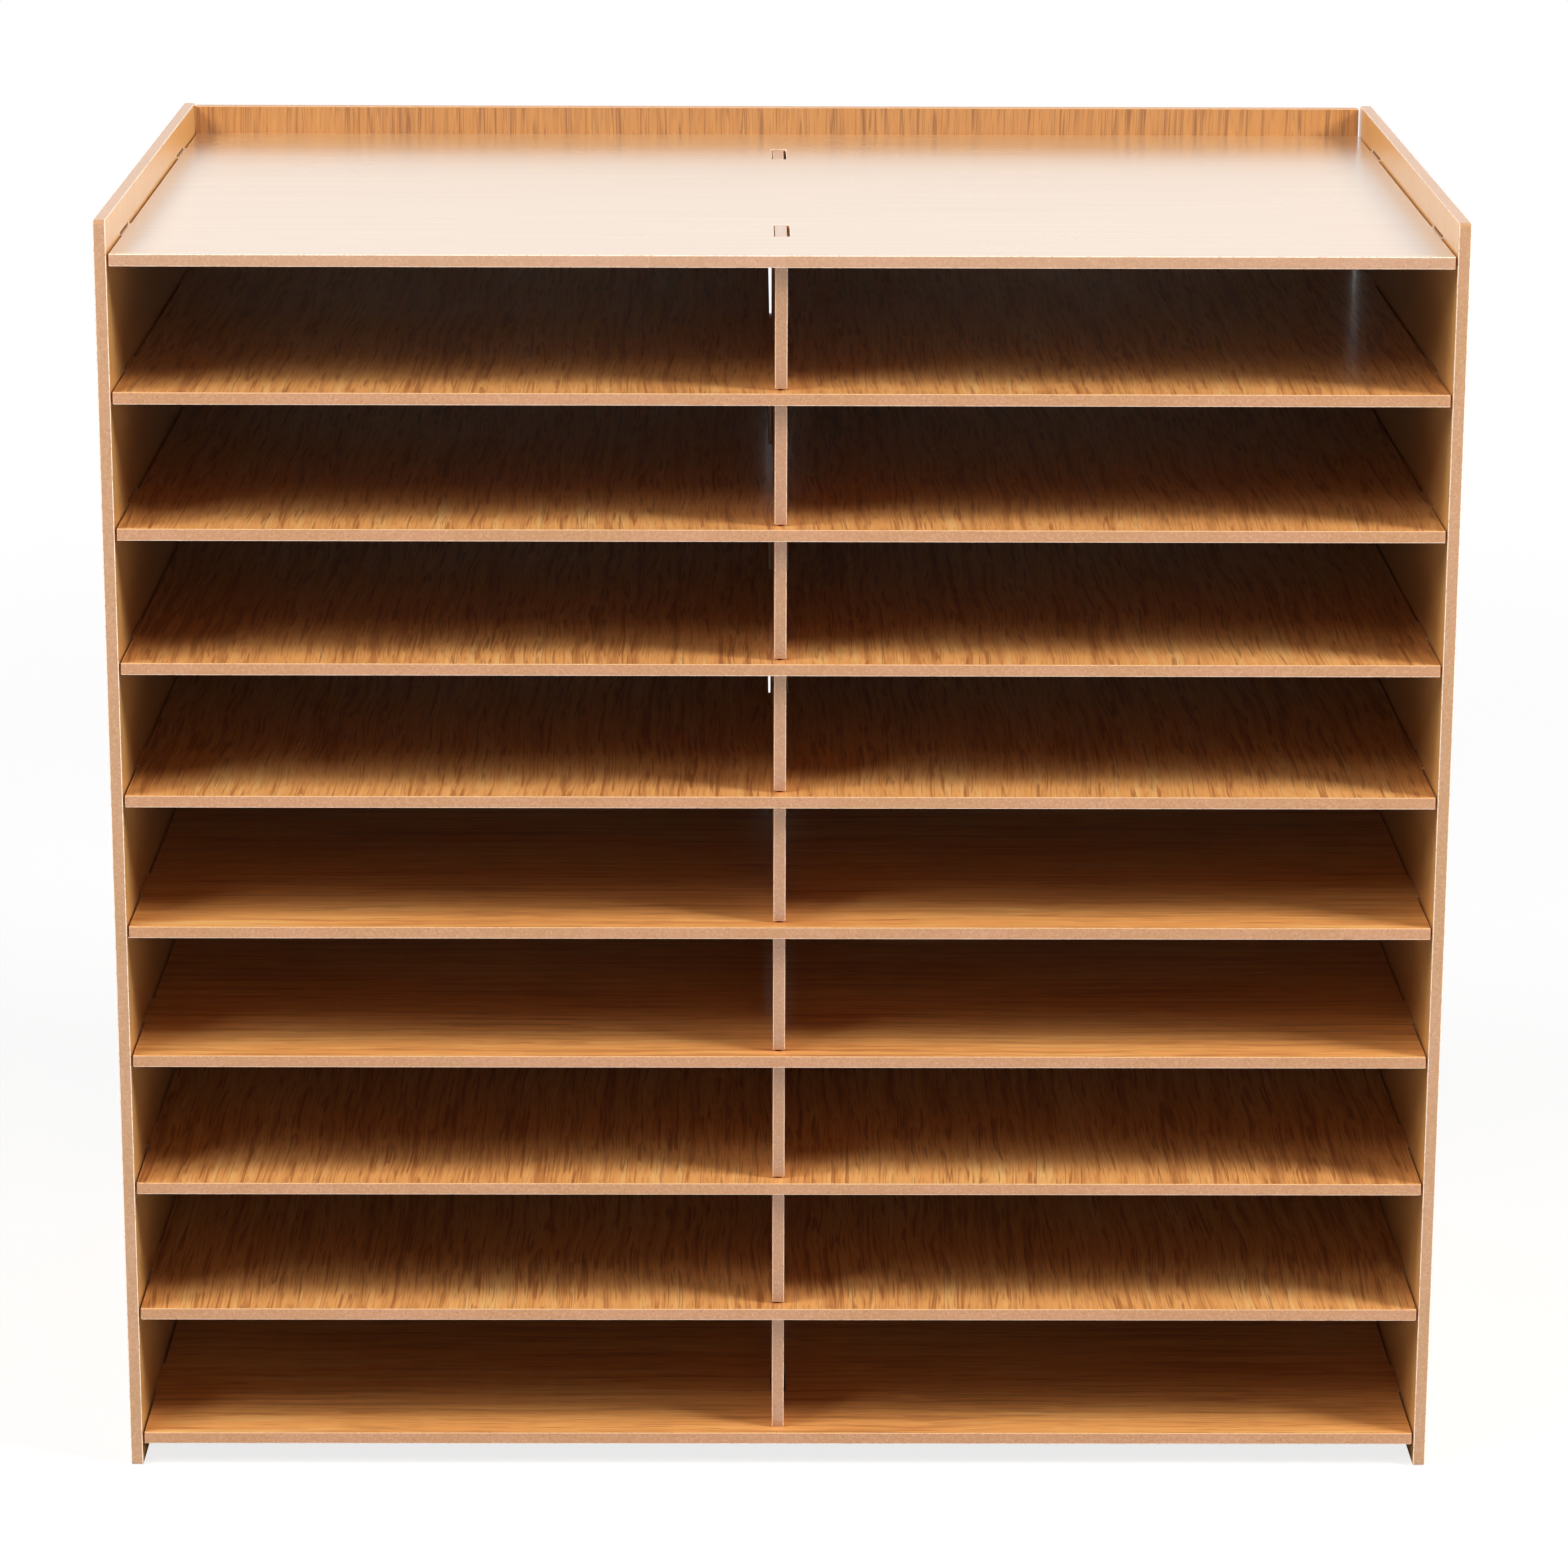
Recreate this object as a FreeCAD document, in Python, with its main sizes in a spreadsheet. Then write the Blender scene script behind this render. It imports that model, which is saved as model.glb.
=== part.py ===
import FreeCAD, Part
import Sketcher
import os

# Desk organizer of flat boards: open compartments in two columns under a shallow top tray.
# Every board is one thickness and locks into its neighbours with tabs, mortises and cross laps,
# so the whole piece stands without glue or screws.
#
# Frame: X runs left to right, Y front to back, Z up. The origin is on the floor, in the middle
# of the width and of the depth. The open front faces -Y. All lengths are in millimetres.

SHEET_NAME = "Sizes"
PARTS_FOLDER = "parts"

# Driving dimensions: alias, value, what it measures.
SIZES = [
    ("overall_width", 550.0, "over the outer faces of the side panels"),
    ("panel_depth", 350.0, "front to rear edge of a side panel"),
    ("board_thickness", 5.0, "one board stock for every piece"),
    ("foot_height", 10.0, "floor to the underside of the bottom board"),
    ("compartment_height", 51.0, "clear height between two boards"),
    ("compartment_rows", 9, "compartments above one another"),
    ("side_lip_height", 13.5, "side panel above the top board"),
    ("back_lip_drop", 1.0, "top edge of the back panel below the side panels"),
    ("side_corner_radius", 2.5, "upper corners of a side panel"),
    ("foot_corner_radius", 2.0, "lower corners of a side panel"),
    ("board_corner_radius", 1.0, "corners of the lying boards, seen from above"),
    ("back_corner_radius", 1.0, "corners of the back panel"),
    ("board_end_gap", 0.8, "end of a lying board to the side panel"),
    ("tab_length", 30.0, "every tab, along its edge"),
    ("tab_setback", 48.5, "end of a tab to the corner of a lying board"),
    ("mortise_end_play", 0.25, "tab to each end of its mortise"),
    ("mortise_top_play", 0.8, "air above a tab in its mortise"),
    ("divider_setback", 6.5, "divider behind the front edges of the boards"),
    ("divider_offset", -0.4, "divider from the middle, within its play"),
    ("divider_mortise_play", 1.5, "width of a mortise beyond the divider's tab"),
    ("lap_slot_play", 4.0, "width of a shelf's slot beyond the divider"),
    ("lap_end_play", 1.0, "bottom of a divider notch to the end of the shelf's slot"),
    ("notch_top_play", 0.8, "air above a shelf in its divider notch"),
    ("back_end_gap", 0.55, "back panel to a side panel, when centred"),
    ("back_offset", -0.45, "back panel from the middle, within its play"),
    ("rear_tab_top_inset", 54.0, "top surface of the top board to the highest rear tab"),
    ("rear_tab_foot_inset", 58.0, "underside of the bottom board to the lowest rear tab"),
    ("rear_tab_count", 3, "tabs on the rear edge of the divider"),
    ("back_mortise_play", 3.3, "width of a back mortise beyond the divider's tab"),
    ("back_mortise_end_play", 0.5, "rear tab to each end of its mortise"),
    ("back_mortise_radius", 1.0, "corners of a mortise in the back panel"),
    ("ear_top_play", 0.5, "air above an ear of the back panel in its notch"),
]

# Worked-out lengths that several pieces share, as formulas over the sheet.
THICK = "Sizes.board_thickness"
INNER_WIDTH = "(Sizes.overall_width - 2 * Sizes.board_thickness)"
BOARD_WIDTH = f"({INNER_WIDTH} - 2 * Sizes.board_end_gap)"
BOARD_DEPTH = "(Sizes.panel_depth - Sizes.board_thickness)"
FRONT_Y = "(-Sizes.panel_depth / 2)"
BACK_Y = "(Sizes.panel_depth / 2 - Sizes.board_thickness)"
LEVEL_PITCH = "(Sizes.compartment_height + Sizes.board_thickness)"
STACK_HEIGHT = f"({LEVEL_PITCH} * Sizes.compartment_rows + Sizes.board_thickness)"
PANEL_HEIGHT = f"(Sizes.foot_height + {STACK_HEIGHT} + Sizes.side_lip_height)"
FRONT_TAB_Y = f"({FRONT_Y} + Sizes.tab_setback)"
REAR_TAB_Y = f"({BACK_Y} - Sizes.tab_setback - Sizes.tab_length)"
LOWEST_REAR_TAB_Z = "(Sizes.foot_height + Sizes.rear_tab_foot_inset)"
REAR_TAB_SPAN = (
    f"({STACK_HEIGHT} - Sizes.rear_tab_top_inset - Sizes.rear_tab_foot_inset - Sizes.tab_length)"
)
EAR_HEIGHT = f"({REAR_TAB_SPAN} + Sizes.tab_length)"
DIVIDER_DEPTH = f"({BOARD_DEPTH} - Sizes.divider_setback)"
LAP_DEPTH = f"({DIVIDER_DEPTH} / 2)"

# Directions that the edges of a piece run in.
ALONG_X = FreeCAD.Vector(1, 0, 0)
ALONG_Y = FreeCAD.Vector(0, 1, 0)
ALONG_Z = FreeCAD.Vector(0, 0, 1)
PARALLEL_LIMIT = 0.001

# Side and place of a rectangle before its formulas set them.
START_SIDE = 10.0

document = FreeCAD.newDocument("DeskOrganizer")


def make_size_sheet():
    """Write every driving dimension to the sheet under its alias."""
    sheet = document.addObject("Spreadsheet::Sheet", SHEET_NAME)
    for row, (alias, value, meaning) in enumerate(SIZES, start=1):
        sheet.set(f"A{row}", alias)
        sheet.set(f"B{row}", str(value))
        sheet.set(f"C{row}", meaning)
        sheet.setAlias(f"B{row}", alias)
    document.recompute()
    return sheet


def make_body(name):
    """Start a piece with its own name."""
    body = document.addObject("PartDesign::Body", name)
    body.Label = name
    return body


def place_body(body, axis, formula):
    """Move a finished piece along one axis to where the formula says."""
    body.setExpression(f".Placement.Base.{axis}", formula)


def make_sketch(body, name, plane_role):
    """Start a sketch on one of the piece's own origin planes."""
    sketch = body.newObject("Sketcher::SketchObject", f"{body.Name}_{name}")
    plane = next(item for item in body.Origin.OriginFeatures if item.Role == plane_role)
    sketch.AttachmentSupport = [(plane, "")]
    sketch.MapMode = "FlatFace"
    return sketch


def add_rectangle(sketch, name, left, low, width, height):
    """Draw a rectangle whose corner, width and height follow four formulas."""
    first = sketch.GeometryCount
    corners = [
        FreeCAD.Vector(0, 0, 0),
        FreeCAD.Vector(START_SIDE, 0, 0),
        FreeCAD.Vector(START_SIDE, START_SIDE, 0),
        FreeCAD.Vector(0, START_SIDE, 0),
    ]
    bottom, right, top, left_side = range(first, first + len(corners))
    for start, end in zip(corners, corners[1:] + corners[:1]):
        sketch.addGeometry(Part.LineSegment(start, end), False)
    sides = [bottom, right, top, left_side]
    for side, following in zip(sides, sides[1:] + sides[:1]):
        sketch.addConstraint(Sketcher.Constraint("Coincident", side, 2, following, 1))
    for side in (bottom, top):
        sketch.addConstraint(Sketcher.Constraint("Horizontal", side))
    for side in (right, left_side):
        sketch.addConstraint(Sketcher.Constraint("Vertical", side))
    measures = [
        ("left", ("DistanceX", -1, 1, bottom, 1), left),
        ("low", ("DistanceY", -1, 1, bottom, 1), low),
        ("width", ("DistanceX", bottom, 1, bottom, 2), width),
        ("height", ("DistanceY", right, 1, right, 2), height),
    ]
    for label, ends, formula in measures:
        index = sketch.addConstraint(Sketcher.Constraint(*ends, START_SIDE))
        sketch.renameConstraint(index, f"{name}_{label}")
        sketch.setExpression(f"Constraints.{name}_{label}", formula)


def volume_of(body):
    """Volume of a piece so far, which is nothing before its first feature."""
    return 0.0 if body.Shape.isNull() else body.Shape.Volume


def pad_sketch(body, sketch, name):
    """Raise a sketch by one board thickness."""
    before = volume_of(body)
    pad = body.newObject("PartDesign::Pad", f"{body.Name}_{name}")
    pad.Profile = sketch
    pad.setExpression("Length", THICK)
    document.recompute()
    if volume_of(body) <= before:
        raise RuntimeError(f"{pad.Name} adds nothing")
    return pad


def cut_sketch(body, sketch, name):
    """Cut a sketch on the piece's first face right through the board."""
    before = volume_of(body)
    pocket = body.newObject("PartDesign::Pocket", f"{body.Name}_{name}")
    pocket.Profile = sketch
    pocket.Type = "ThroughAll"
    pocket.Reversed = True
    document.recompute()
    if volume_of(body) >= before:
        raise RuntimeError(f"{pocket.Name} cuts nothing")
    return pocket


def repeat_feature(body, feature, sketch_axis, span, count):
    """Repeat a feature along an axis of its sketch, evenly over a span."""
    before = volume_of(body)
    pattern = body.newObject("PartDesign::LinearPattern", f"{feature.Name}_row")
    pattern.Originals = [feature]
    pattern.Direction = (feature.Profile[0], [sketch_axis])
    pattern.setExpression("Length", span)
    pattern.setExpression("Occurrences", count)
    body.Tip = pattern
    document.recompute()
    if volume_of(body) == before:
        raise RuntimeError(f"{pattern.Name} repeats nothing")
    return pattern


def corner_edges(shape, direction, chosen):
    """Name the straight edges that run in a direction and whose middle is chosen."""
    names = []
    for index, edge in enumerate(shape.Edges, start=1):
        if edge.Curve.TypeId != "Part::GeomLine":
            continue
        start, end = (vertex.Point for vertex in edge.Vertexes)
        run = (end - start).normalize()
        if run.cross(direction).Length < PARALLEL_LIMIT and chosen((start + end) / 2):
            names.append(f"Edge{index}")
    return names


def round_corners(body, name, direction, radius, chosen=lambda middle: True):
    """Round the chosen edges of a piece that run through its thickness."""
    base = body.Tip
    names = corner_edges(base.Shape, direction, chosen)
    if not names:
        raise RuntimeError(f"{body.Name} has no corner to round")
    fillet = body.newObject("PartDesign::Fillet", f"{body.Name}_{name}")
    fillet.Base = (base, names)
    fillet.setExpression("Radius", radius)
    document.recompute()
    return fillet


def add_board_outline(body):
    """Lying board: a rounded rectangle, and two tabs at each end that reach the outside."""
    outline = make_sketch(body, "outline", "XY_Plane")
    add_rectangle(outline, "board", f"-{BOARD_WIDTH} / 2", FRONT_Y, BOARD_WIDTH, BOARD_DEPTH)
    pad_sketch(body, outline, "board")
    round_corners(body, "corners", ALONG_Z, "Sizes.board_corner_radius")
    tabs = make_sketch(body, "tab_outline", "XY_Plane")
    for name, low in (("front", FRONT_TAB_Y), ("rear", REAR_TAB_Y)):
        add_rectangle(
            tabs, name, "-Sizes.overall_width / 2", low, "Sizes.overall_width", "Sizes.tab_length"
        )
    pad_sketch(body, tabs, "tabs")


def make_end_board(name, height):
    """Top or bottom board: mortises on the middle take the divider's tabs."""
    body = make_body(name)
    add_board_outline(body)
    mortises = make_sketch(body, "mortise_outline", "XY_Plane")
    width = "(Sizes.board_thickness + Sizes.divider_mortise_play)"
    for place, low in (("front", FRONT_TAB_Y), ("rear", REAR_TAB_Y)):
        add_rectangle(
            mortises,
            place,
            f"-{width} / 2",
            f"{low} - Sizes.mortise_end_play",
            width,
            "Sizes.tab_length + 2 * Sizes.mortise_end_play",
        )
    cut_sketch(body, mortises, "mortises")
    place_body(body, "z", height)
    return body


def make_shelf(name, height):
    """Shelf: a slot from its rear edge to half the divider's depth laps with the divider."""
    body = make_body(name)
    add_board_outline(body)
    slot = make_sketch(body, "slot_outline", "XY_Plane")
    width = "(Sizes.board_thickness + Sizes.lap_slot_play)"
    add_rectangle(slot, "slot", f"-{width} / 2", f"{BACK_Y} - {LAP_DEPTH}", width, LAP_DEPTH)
    cut_sketch(body, slot, "slot")
    place_body(body, "z", height)
    return body


def make_side_panel(name, place):
    """Side panel: a pair of mortises at every board level, and a long notch for the back's ear."""
    body = make_body(name)
    outline = make_sketch(body, "outline", "YZ_Plane")
    add_rectangle(outline, "panel", FRONT_Y, "0", "Sizes.panel_depth", PANEL_HEIGHT)
    pad_sketch(body, outline, "panel")
    middle_height = body.Shape.BoundBox.Center.z
    round_corners(
        body,
        "upper_corners",
        ALONG_X,
        "Sizes.side_corner_radius",
        lambda middle: middle.z > middle_height,
    )
    round_corners(
        body,
        "foot_corners",
        ALONG_X,
        "Sizes.foot_corner_radius",
        lambda middle: middle.z < middle_height,
    )

    mortises = make_sketch(body, "mortise_outline", "YZ_Plane")
    for place_name, low in (("front", FRONT_TAB_Y), ("rear", REAR_TAB_Y)):
        add_rectangle(
            mortises,
            place_name,
            f"{low} - Sizes.mortise_end_play",
            "Sizes.foot_height",
            "Sizes.tab_length + 2 * Sizes.mortise_end_play",
            "Sizes.board_thickness + Sizes.mortise_top_play",
        )
    pair = cut_sketch(body, mortises, "mortises")
    repeat_feature(
        body,
        pair,
        "V_Axis",
        f"{LEVEL_PITCH} * Sizes.compartment_rows",
        "Sizes.compartment_rows + 1",
    )

    notch = make_sketch(body, "ear_notch_outline", "YZ_Plane")
    add_rectangle(
        notch,
        "notch",
        BACK_Y,
        LOWEST_REAR_TAB_Z,
        THICK,
        f"{EAR_HEIGHT} + Sizes.ear_top_play",
    )
    cut_sketch(body, notch, "ear_notch")
    place_body(body, "x", place)
    return body


def make_divider(name):
    """Divider: notched from the front for every shelf, tabbed at the top, bottom and rear."""
    body = make_body(name)
    front = f"({FRONT_Y} + Sizes.divider_setback)"
    outline = make_sketch(body, "outline", "YZ_Plane")
    add_rectangle(
        outline,
        "panel",
        front,
        "Sizes.foot_height + Sizes.board_thickness",
        DIVIDER_DEPTH,
        f"{STACK_HEIGHT} - 2 * Sizes.board_thickness",
    )
    pad_sketch(body, outline, "panel")

    ends = make_sketch(body, "end_tab_outline", "YZ_Plane")
    for place, low in (("front", FRONT_TAB_Y), ("rear", REAR_TAB_Y)):
        add_rectangle(
            ends, place, low, "Sizes.foot_height", "Sizes.tab_length", STACK_HEIGHT
        )
    pad_sketch(body, ends, "end_tabs")

    rear = make_sketch(body, "rear_tab_outline", "YZ_Plane")
    add_rectangle(
        rear, "tab", BACK_Y, LOWEST_REAR_TAB_Z, THICK, "Sizes.tab_length"
    )
    lowest = pad_sketch(body, rear, "rear_tab")
    repeat_feature(body, lowest, "V_Axis", REAR_TAB_SPAN, "Sizes.rear_tab_count")

    notch = make_sketch(body, "notch_outline", "YZ_Plane")
    add_rectangle(
        notch,
        "notch",
        front,
        f"Sizes.foot_height + {LEVEL_PITCH}",
        f"{LAP_DEPTH} + Sizes.lap_end_play",
        "Sizes.board_thickness + Sizes.notch_top_play",
    )
    first = cut_sketch(body, notch, "notch")
    repeat_feature(
        body,
        first,
        "V_Axis",
        f"{LEVEL_PITCH} * (Sizes.compartment_rows - 2)",
        "Sizes.compartment_rows - 1",
    )
    place_body(body, "x", "Sizes.divider_offset - Sizes.board_thickness / 2")
    return body


def make_back_panel(name):
    """Back panel: closes the rear between the side panels and stands in them on a long ear each."""
    body = make_body(name)
    width = f"({INNER_WIDTH} - 2 * Sizes.back_end_gap)"
    outline = make_sketch(body, "outline", "XZ_Plane")
    add_rectangle(
        outline,
        "panel",
        f"Sizes.back_offset - {width} / 2",
        "Sizes.foot_height",
        width,
        f"{STACK_HEIGHT} + Sizes.side_lip_height - Sizes.back_lip_drop",
    )
    pad_sketch(body, outline, "panel")
    round_corners(body, "corners", ALONG_Y, "Sizes.back_corner_radius")

    ears = make_sketch(body, "ear_outline", "XZ_Plane")
    add_rectangle(
        ears,
        "ears",
        "-Sizes.overall_width / 2",
        LOWEST_REAR_TAB_Z,
        "Sizes.overall_width",
        EAR_HEIGHT,
    )
    pad_sketch(body, ears, "ears")

    mortise = make_sketch(body, "mortise_outline", "XZ_Plane")
    slot_width = "(Sizes.board_thickness + Sizes.back_mortise_play)"
    add_rectangle(
        mortise,
        "mortise",
        f"Sizes.back_offset - {slot_width} / 2",
        f"{LOWEST_REAR_TAB_Z} - Sizes.back_mortise_end_play",
        slot_width,
        "Sizes.tab_length + 2 * Sizes.back_mortise_end_play",
    )
    first = cut_sketch(body, mortise, "mortise")
    repeat_feature(body, first, "V_Axis", REAR_TAB_SPAN, "Sizes.rear_tab_count")

    # The mortises lie in the middle half of the panel's width.
    mortise_reach = body.Shape.BoundBox.XMax / 2
    round_corners(
        body,
        "mortise_corners",
        ALONG_Y,
        "Sizes.back_mortise_radius",
        lambda middle: abs(middle.x) < mortise_reach,
    )
    place_body(body, "y", "Sizes.panel_depth / 2")
    return body


def make_pieces(sheet):
    """Build every board of the organizer and return them in order."""
    pieces = [
        make_side_panel("left_side_panel", "-Sizes.overall_width / 2"),
        make_side_panel("right_side_panel", "Sizes.overall_width / 2 - Sizes.board_thickness"),
        make_end_board("top_board", f"Sizes.foot_height + {STACK_HEIGHT} - {THICK}"),
        make_end_board("bottom_board", "Sizes.foot_height"),
        make_divider("centre_divider"),
        make_back_panel("back_panel"),
    ]
    shelf_count = int(sheet.get("compartment_rows")) - 1
    for number in range(1, shelf_count + 1):
        level = f"(Sizes.compartment_rows - {number})"
        height = f"Sizes.foot_height + {LEVEL_PITCH} * {level}"
        pieces.append(make_shelf(f"shelf_{number}", height))
    return pieces


def check_document(pieces):
    """Stop if any feature failed or a piece isn't one sound solid."""
    for item in document.Objects:
        if "Invalid" in item.State or "Error" in item.State:
            raise RuntimeError(f"{item.Name} did not build: {item.State}")
    for piece in pieces:
        shape = piece.Shape
        if shape.isNull() or not shape.isValid() or len(shape.Solids) != 1:
            raise RuntimeError(f"{piece.Label} is not one sound solid")


def write_pieces(pieces):
    """Write each piece to its own file."""
    os.makedirs(PARTS_FOLDER, exist_ok=True)
    for piece in pieces:
        piece.Shape.exportStep(os.path.join(PARTS_FOLDER, f"{piece.Label}.step"))


size_sheet = make_size_sheet()
boards = make_pieces(size_sheet)
document.recompute()
check_document(boards)
write_pieces(boards)
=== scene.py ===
import logging
import math
from dataclasses import dataclass, replace
from enum import Enum

import bpy
from mathutils import Euler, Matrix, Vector


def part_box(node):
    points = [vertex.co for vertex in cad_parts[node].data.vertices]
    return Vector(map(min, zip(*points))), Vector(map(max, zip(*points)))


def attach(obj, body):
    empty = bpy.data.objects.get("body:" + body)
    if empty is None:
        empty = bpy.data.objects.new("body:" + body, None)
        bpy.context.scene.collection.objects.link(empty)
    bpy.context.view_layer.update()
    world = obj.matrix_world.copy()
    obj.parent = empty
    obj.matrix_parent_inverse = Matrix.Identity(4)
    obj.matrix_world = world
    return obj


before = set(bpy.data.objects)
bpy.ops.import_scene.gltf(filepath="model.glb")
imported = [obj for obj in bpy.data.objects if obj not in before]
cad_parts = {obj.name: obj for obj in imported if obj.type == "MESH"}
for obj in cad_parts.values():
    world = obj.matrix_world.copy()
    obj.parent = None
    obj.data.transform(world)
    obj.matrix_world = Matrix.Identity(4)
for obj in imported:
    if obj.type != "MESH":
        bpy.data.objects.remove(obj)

Rgb = tuple[int, int, int]
Rgba = tuple[float, float, float, float]
Xyz = tuple[float, float, float]

LOG = logging.getLogger("desk_organizer")
MM = 0.001
QUARTER_TURN = math.pi / 2
WHITE: Rgba = (1.0, 1.0, 1.0, 1.0)
BLACK: Rgba = (0.0, 0.0, 0.0, 1.0)
UP: Xyz = (0.0, 0.0, 1.0)
NOISE_ROUGHNESS = 0.6

# From this cosine to the face axis on, a face of a board is oak and not a sawn edge.
FACES_FROM = 0.72

# Sockets by their place, for nodes on which several have one name: each input, and last the output.
MIX_NUMBERS = (0, 2, 3, 0)
MIX_COLOURS = (0, 6, 7, 2)
RANDOM_NUMBERS = (2, 3, 1)


def linear(colour: Rgb) -> Rgba:
    """Turns a display colour into the linear colour that a shader takes, by the sRGB curve.

    Args:
        colour: Red, green and blue from 0 to 255.

    Returns:
        Red, green, blue and alpha, linear, from 0 to 1.
    """
    parts = []
    for level in colour:
        share = level / 255
        parts.append(share / 12.92 if share <= 0.04045 else ((share + 0.055) / 1.055) ** 2.4)
    return (parts[0], parts[1], parts[2], 1.0)


def grey(level: float) -> Rgba:
    """Makes a grey for a shader.

    Args:
        level: How bright it is, linear, from 0 to 1.

    Returns:
        Red, green, blue and alpha.
    """
    return (level, level, level, 1.0)


class Lay(Enum):
    """How a board lies and how its grain runs.

    Each value holds the axis that the oak faces look along, and the turn that puts the grain along X in the XY plane.
    """

    LYING_WIDTHWAYS = (UP, (0.0, 0.0, 0.0))
    LYING_FRONT_TO_BACK = (UP, (0.0, 0.0, -QUARTER_TURN))
    SIDE_UPRIGHT = ((1.0, 0.0, 0.0), (0.0, QUARTER_TURN, 0.0))
    REAR_UPRIGHT = ((0.0, 1.0, 0.0), (QUARTER_TURN, 0.0, QUARTER_TURN))

    @property
    def face_axis(self) -> Xyz:
        """Gives the axis that the oak faces look along.

        Returns:
            A unit vector.
        """
        return self.value[0]

    @property
    def grain_turn(self) -> Xyz:
        """Gives the turn that lays the grain along X.

        Returns:
            Angles about X, Y and Z, in radians.
        """
        return self.value[1]


class NodeDesk:
    """Adds nodes to one node tree and joins them."""

    def __init__(self, tree: bpy.types.NodeTree) -> None:
        """Keeps the tree that the nodes go in.

        Args:
            tree: A shader tree, a node group or the tree of a world.
        """
        self.tree = tree

    def node(self, kind: str, **settings: object) -> bpy.types.Node:
        """Adds one node.

        Args:
            kind: The node's type name.
            settings: Values for the node's own properties.

        Returns:
            The new node.
        """
        made = self.tree.nodes.new(kind)
        for name, value in settings.items():
            setattr(made, name, value)
        return made

    def group(self, tree: bpy.types.NodeTree, values: dict[str, object]) -> bpy.types.Node:
        """Adds a node group and feeds its inputs.

        Args:
            tree: The group's tree.
            values: A socket or a plain value for each input by its name.

        Returns:
            The group's node.
        """
        made = self.node("ShaderNodeGroup", node_tree=tree)
        for name, value in values.items():
            self.feed(made.inputs[name], value)
        return made

    def feed(self, target: bpy.types.NodeSocket, value: object) -> None:
        """Joins a socket to a socket, or sets a plain value on it.

        Args:
            target: The input socket.
            value: An output socket, a number, a vector or a colour.
        """
        if isinstance(value, bpy.types.NodeSocket):
            self.tree.links.new(value, target)
        else:
            target.default_value = value

    def by_place(self, made: bpy.types.Node, places: tuple[int, ...], *values: object) -> bpy.types.NodeSocket:
        """Feeds a node by the places of its sockets.

        Args:
            made: The node.
            places: The place of each input, and last that of the output.
            values: A socket or a plain value for each input.

        Returns:
            The output.
        """
        *inputs, output = places
        for place, value in zip(inputs, values):
            self.feed(made.inputs[place], value)
        return made.outputs[output]

    def maths(self, operation: str, *values: object, clamp: bool = False) -> bpy.types.NodeSocket:
        """Adds a Math node.

        Args:
            operation: The sum that it does.
            values: Its inputs, sockets or numbers.
            clamp: True to keep the result from 0 to 1.

        Returns:
            The result.
        """
        made = self.node("ShaderNodeMath", operation=operation, use_clamp=clamp)
        for socket, value in zip(made.inputs, values):
            self.feed(socket, value)
        return made.outputs[0]

    def vector_maths(self, operation: str, *values: object) -> bpy.types.NodeSocket:
        """Adds a Vector Math node.

        Args:
            operation: The sum that it does.
            values: Its inputs, sockets or vectors.

        Returns:
            The result, a number for a dot product and otherwise a vector.
        """
        made = self.node("ShaderNodeVectorMath", operation=operation)
        for socket, value in zip(made.inputs, values):
            self.feed(socket, value)
        return made.outputs["Value"] if operation == "DOT_PRODUCT" else made.outputs["Vector"]

    def stretched(self, place: object, along: float, across: float = 1.0) -> bpy.types.NodeSocket:
        """Stretches a pattern along X by shrinking the place where it is read.

        Args:
            place: Where the pattern is read.
            along: Share that is kept along X.
            across: Share that is kept along Y.

        Returns:
            The place in the XY plane.
        """
        return self.vector_maths("MULTIPLY", place, (along, across, 0.0))

    def about_zero(self, noise: object) -> bpy.types.NodeSocket:
        """Shifts a noise to a mean of 0.

        Args:
            noise: A noise with a mean of 0.5.

        Returns:
            The shifted noise.
        """
        return self.maths("SUBTRACT", noise, 0.5)

    def noise(self, vector: object, scale: object, detail: float = 0.0, solid: bool = False) -> bpy.types.NodeSocket:
        """Adds a Noise Texture node.

        Args:
            vector: Where it is read.
            scale: Cells in a metre.
            detail: Number of finer layers.
            solid: True to read it through the whole space, False in the XY plane.

        Returns:
            The noise, about 0.5 in the mean.
        """
        made = self.node("ShaderNodeTexNoise", noise_dimensions="3D" if solid else "2D")
        self.feed(made.inputs["Vector"], vector)
        self.feed(made.inputs["Scale"], scale)
        self.feed(made.inputs["Detail"], detail)
        self.feed(made.inputs["Roughness"], NOISE_ROUGHNESS)
        return made.outputs["Fac"]

    def spread(
        self, value: object, low: float, high: float, to_low: float = 0.0, to_high: float = 1.0
    ) -> bpy.types.NodeSocket:
        """Adds a Map Range node that runs smoothly from one range to another.

        Args:
            value: The input.
            low: Start of the range that is read.
            high: End of the range that is read.
            to_low: Result at the start.
            to_high: Result at the end.

        Returns:
            The result, kept inside its range.
        """
        made = self.node("ShaderNodeMapRange", interpolation_type="SMOOTHSTEP")
        names = ("Value", "From Min", "From Max", "To Min", "To Max")
        for name, number in zip(names, (value, low, high, to_low, to_high)):
            self.feed(made.inputs[name], number)
        return made.outputs["Result"]

    def blend(self, share: object, first: object, second: object, way: str = "MIX") -> bpy.types.NodeSocket:
        """Adds a Mix node for colours.

        Args:
            share: How much of the second colour shows.
            first: Colour at 0.
            second: Colour at 1.
            way: The blend mode.

        Returns:
            The mixed colour.
        """
        made = self.node("ShaderNodeMix", data_type="RGBA", blend_type=way)
        return self.by_place(made, MIX_COLOURS, share, first, second)

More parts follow.
